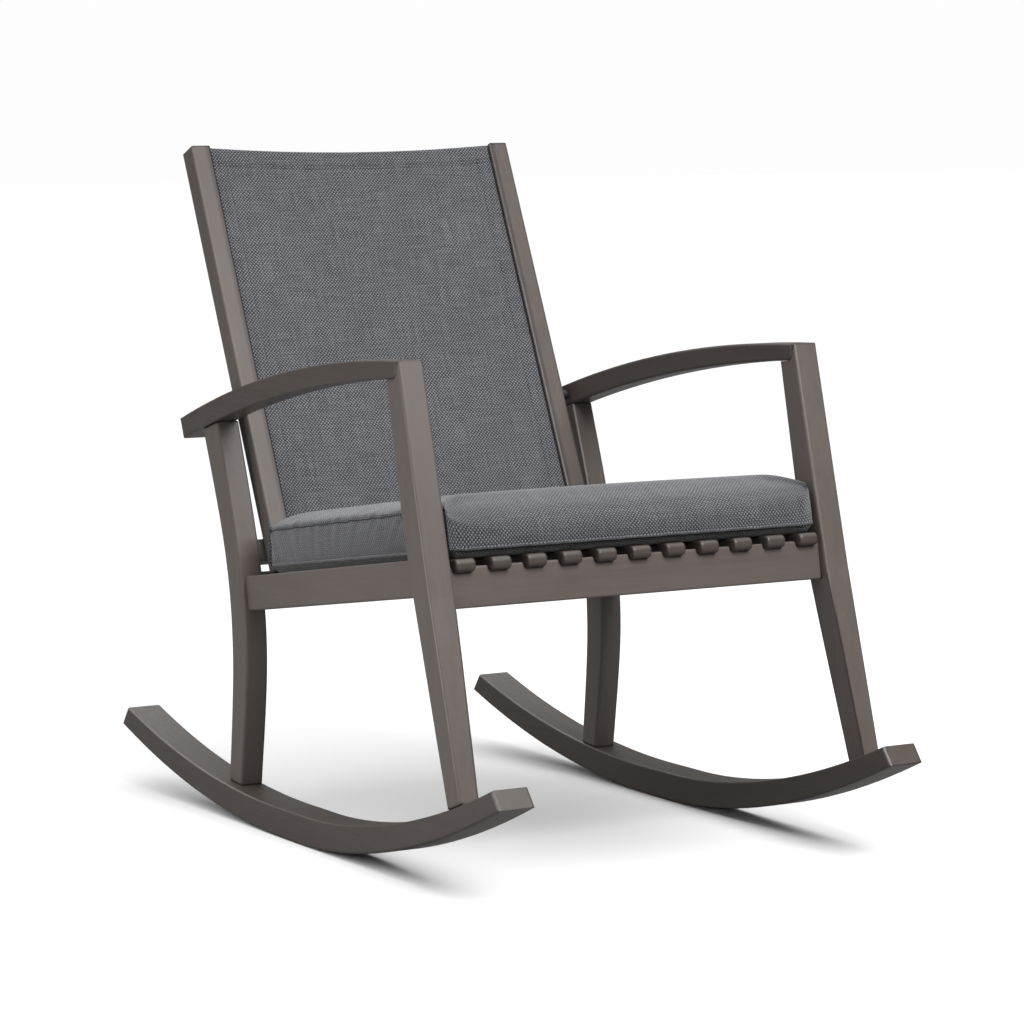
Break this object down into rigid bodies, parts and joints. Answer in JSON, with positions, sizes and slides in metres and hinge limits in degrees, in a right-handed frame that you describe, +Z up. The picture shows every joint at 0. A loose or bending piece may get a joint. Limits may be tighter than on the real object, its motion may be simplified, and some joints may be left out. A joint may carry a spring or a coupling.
{
  "type": "rocking chair",
  "caption": "Rocking armchair: painted timber frame on curved rockers, slatted seat with a loose boxed cushion, and a fabric back stretched between leaning stiles.",
  "frame": {"origin": "middle of the chair at floor level, under the middle of its overall box", "axes": "+Z up, the sitter faces -Y, +X is the sitter's left"},
  "size_m": [0.64, 1.05, 0.9142],
  "materials": {
    "timber": "satin opaque taupe paint",
    "cushion_fabric": "chunky woven charcoal fabric",
    "sling_fabric": "chunky woven charcoal fabric",
    "steel": "satin",
    "nylon": "matte"
  },
  "bodies": {
    "frame": {"rocker_left": "timber", "rocker_right": "timber", "front_leg_left": "timber", "front_leg_right": "timber", "rear_leg_left": "timber", "rear_leg_right": "timber", "arm_left": "timber", "arm_right": "timber", "side_rail_left": "timber", "side_rail_right": "timber", "front_rail": "timber", "rear_rail": "timber", "slat_cleat": "timber", "seat_slat_01": "timber", "seat_slat_02": "timber", "seat_slat_03": "timber", "seat_slat_04": "timber", "seat_slat_05": "timber", "seat_slat_06": "timber", "seat_slat_07": "timber", "seat_slat_08": "timber", "seat_slat_09": "timber", "seat_slat_10": "timber", "seat_slat_11": "timber", "corner_block_front_left": "timber", "corner_block_front_right": "timber", "corner_block_rear_left": "timber", "corner_block_rear_right": "timber", "back_stile_left": "timber", "back_stile_right": "timber", "lower_back_rail": "timber", "arm_dowel_front_left": "timber", "arm_dowel_front_right": "timber", "arm_dowel_rear_left": "timber", "arm_dowel_rear_right": "timber", "rocker_dowel_front_left": "timber", "rocker_dowel_front_right": "timber", "rocker_dowel_rear_left": "timber", "rocker_dowel_rear_right": "timber", "spreader_bar": "steel", "arm_pin_left": "steel", "arm_pin_right": "steel", "rail_pin_left": "steel", "rail_pin_right": "steel", "sling_spline_left": "nylon", "sling_spline_right": "nylon", "arm_pin_spacer_left": "nylon", "arm_pin_spacer_right": "nylon", "back_sling": "sling_fabric"},
    "cushion": {"seat_cushion": "cushion_fabric"}
  },
  "joints": [
    {"name": "cushion_lift", "type": "slide", "parent": "frame", "child": "cushion", "axis": [0, 0, 1], "range_m": [0, 0.06]}
  ]
}
